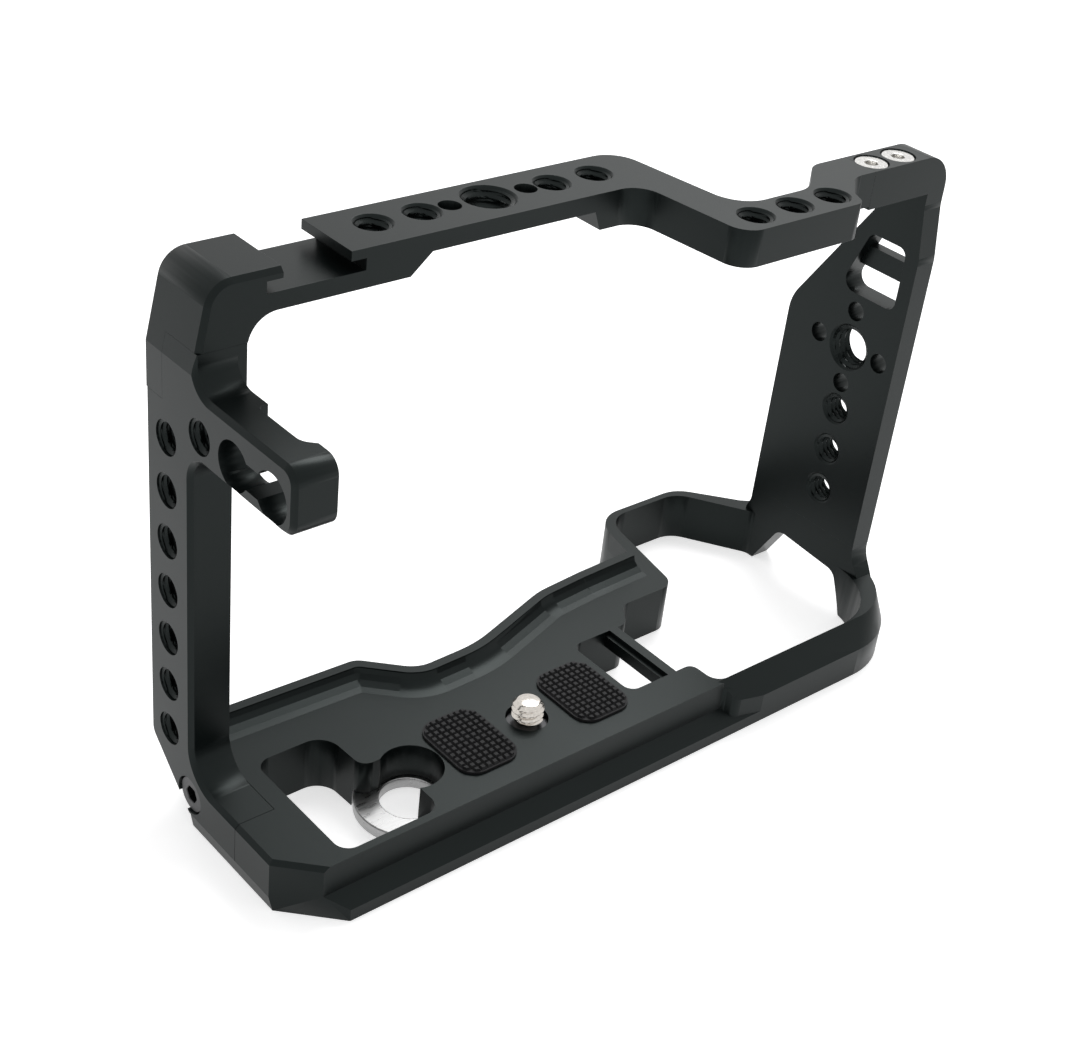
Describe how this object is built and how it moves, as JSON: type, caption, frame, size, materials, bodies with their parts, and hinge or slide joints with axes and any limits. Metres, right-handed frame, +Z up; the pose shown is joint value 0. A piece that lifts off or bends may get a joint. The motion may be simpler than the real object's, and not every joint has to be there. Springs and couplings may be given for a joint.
{
  "type": "camera cage",
  "caption": "Open black metal frame that bolts round a camera, with threaded holes, a shoe, a loop round the grip, a cable arm and a captive camera screw.",
  "frame": {"origin": "centre of the bounding box's bottom face, on the underside of the base", "axes": "+X to the grip side, +Y to the lens side, +Z up"},
  "size_m": [0.161, 0.064, 0.108],
  "materials": {
    "black_anodised": "satin black anodised",
    "black_rubber": "matte, studded",
    "nickel_steel": "nickel plated",
    "polished_steel": "polished",
    "black_steel": "blackened",
    "magnet_nickel": "nickel plated"
  },
  "bodies": {
    "cage": {"base_plate": "black_anodised", "left_bracket": "black_anodised", "top_bar": "black_anodised", "right_plate": "black_anodised", "rubber_pad_left": "black_rubber", "rubber_pad_right": "black_rubber", "lap_joint_screw": "black_steel", "tool_magnet": "magnet_nickel", "base_joint_screw": "black_steel", "flange_screws": "polished_steel", "upstand_pin": "black_steel"},
    "screw_carrier": {"camera_screw_clip": "black_steel"},
    "screw": {"camera_screw": "nickel_steel"},
    "tool": {"ring_screwdriver": "polished_steel"}
  },
  "joints": [
    {"name": "camera_screw_slide", "type": "slide", "parent": "cage", "child": "screw_carrier", "axis": [0, 0, 1], "range_m": [-0.00135, 0]},
    {"name": "camera_screw_turn", "type": "hinge", "parent": "screw_carrier", "child": "screw", "pos_m": [-0.0179, -0.0152, 0.008], "axis": [0, 0, 1], "continuous": true},
    {"name": "tool_pull", "type": "slide", "parent": "cage", "child": "tool", "axis": [0, 0, 1], "range_m": [-0.006, 0]}
  ]
}
